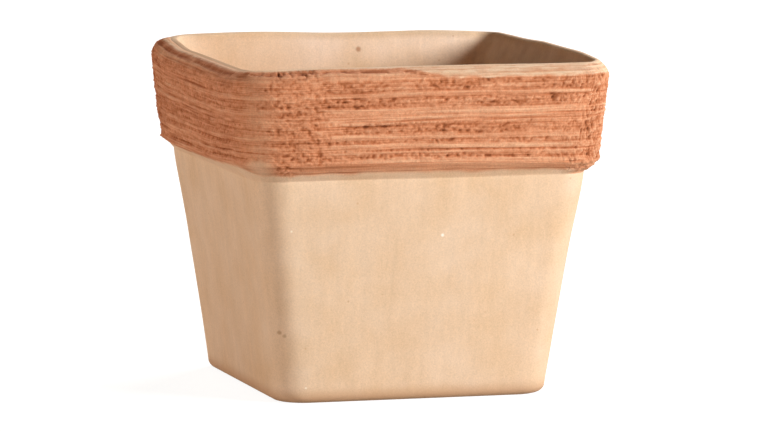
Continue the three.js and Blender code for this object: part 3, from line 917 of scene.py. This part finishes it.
lower_half = wall_half(LOWER_Z) + LOWER_PROJECTION
slope = [(half, lip_z(half)) for half in spread(LIP_JOINT, COLLAR_HALF - UPPER_EDGE, 12)]
edge = [upper_edge(share) for share in spread(0.0, 1.0, 20)[1:]]
front_face = [(COLLAR_HALF + (lower_half - COLLAR_HALF) * share, edge[-1][1] + (LOWER_Z - edge[-1][1]) * share)
              for share in spread(0.0, 1.0, 112)[1:]]
foot_z = LOWER_Z - UNDERSIDE_HEIGHT
foot_half = outer_half(foot_z) + FILLET_START
slant = [(lower_half + (foot_half - lower_half) * share, LOWER_Z - UNDERSIDE_HEIGHT * share)
         for share in spread(0.0, 1.0, 22)[1:]]
fillet = [(outer_half(z) + FILLET_START - (FILLET_START + SINK) * math.sin(share * math.pi / 2), z)
          for share in spread(0.0, 1.0, 6)[1:] for z in [foot_z - UNDERSIDE_FILLET * share]]
back = [(wall_half(z) + BACK_GAP, z) for z in spread(foot_z, BACK_TOP, 6)]
profile = slope + edge + front_face + slant + fillet
depths = [HEIGHT - z + DEPTH_PER_OUTWARDS * (half - CREST) for half, z in profile]
section = as_section(profile + back)
shown_rows = len(profile)


def section_normal(row):
    """The direction out of the collar's section at one of its rows, as (outwards, up)."""
    before, after = section[max(row - 1, 0)], section[min(row + 1, shown_rows - 1)]
    across, rise = after[0] - before[0], after[1] - before[1]
    length = math.hypot(across, rise)
    return -rise / length, across / length


normals = [section_normal(row) for row in range(shown_rows)]
print("the section has", len(section), "rows, and", shown_rows, "of them show")

# %% Model the collar's strips
SIDE_STEPS = 250
CORNER_STEPS = 30  # in half a corner
SPARE_STEPS = 2  # past its middle
PAST_MITRE = 0.5001  # sides from a strip's middle


def sweep_strip(side):
    """One side's strip before it is worked, swept as the front one, a little past its mitres, and turned."""
    bm = bmesh.new()
    first = start_section(bm, section, closed=True)
    last = extrude_along(bm, first, Vector((1, 0, 0)), 2 * STRAIGHT, SIDE_STEPS)
    swing = (math.pi / 4) * (1.0 + SPARE_STEPS / CORNER_STEPS)
    steps = CORNER_STEPS + SPARE_STEPS
    spin_corner(bm, last, Vector((STRAIGHT, -STRAIGHT, 0)), swing, steps)
    spin_corner(bm, first, Vector((-STRAIGHT, -STRAIGHT, 0)), -swing, steps)
    bmesh.ops.remove_doubles(bm, verts=bm.verts, dist=0.0005)
    bmesh.ops.recalc_face_normals(bm, faces=bm.faces)
    bmesh.ops.rotate(bm, verts=bm.verts, cent=(0, 0, 0), matrix=Matrix.Rotation(side * math.pi / 2, 3, "Z"))
    # Adding a value later would lose hold of points that are kept in a list, so all of them are added here.
    for name in ("tone_and_painted_light", "slip"):
        bm.verts.layers.float.new(name)
    for name in ("track", "shade"):
        bm.verts.layers.float_vector.new(name)
    return bm


def work_strip(bm, side):
    """Moves a strip's points to their places, with the tool's marks, and returns those that lie past a mitre."""
    row_of = bm.verts.layers.int["row"]
    tone_and_painted_light_of, slip_of = bm.verts.layers.float["tone_and_painted_light"], bm.verts.layers.float["slip"]
    track_of = bm.verts.layers.float_vector["track"]
    spare = []
    for point in bm.verts:
        x, y, z = point.co
        row = point[row_of]
        place, out, around = plan_place(x, y, z, section[row][0])
        spot = settle(place, out, section[row][0], z, around)
        spot.z -= around_value(COLLAR_DROP, around) * smooth_step(foot_z, LOWER_Z, z) * smooth_step(225.0, 190.0, z)
        if row < shown_rows:
            height, point[tone_and_painted_light_of], point[slip_of], point[track_of] = tool_marks(around, depths[row])
            # The marks fade out over the first and last rows, where the strip meets the walls.
            height *= smooth_step(0.0, 3.0, row) * smooth_step(shown_rows - 1.0, shown_rows - 5.0, row)
            outwards, up = normals[row]
            spot += Vector((out.x * outwards, out.y * outwards, up)) * height
        point.co = spot
        if abs((around - side + 2.0) % 4.0 - 2.0) > PAST_MITRE:
            spare.append(point)
    return spare


def model_strip(side, name):
    """One side's finished strip. Its shading is kept from before the trimming, and on the lip from the section."""
    bm = sweep_strip(side)
    spare = work_strip(bm, side)
    bm.normal_update()
    row_of = bm.verts.layers.int["row"]
    shade_of = bm.verts.layers.float_vector["shade"]
    outwards, up = normals[0]
    for point in bm.verts:
        point[shade_of] = point.normal
        if point[row_of] == 0:
            level = Vector((point.normal.x, point.normal.y, 0.0)).normalized()
            point[shade_of] = level * outwards + Vector((0.0, 0.0, up))
    bmesh.ops.delete(bm, geom=spare, context="VERTS")
    bmesh.ops.holes_fill(bm, edges=[edge for edge in bm.edges if edge.is_boundary], sides=0)
    shading = [point[shade_of].copy() for point in bm.verts]
    piece = finish_piece(bm, f"{name}_combed_collar", comb_material, [f"{name}_collar_strip"])
    piece.data.normals_split_custom_set_from_vertices(shading)


for side, name in enumerate(("front", "right", "back", "left")):
    model_strip(side, name)
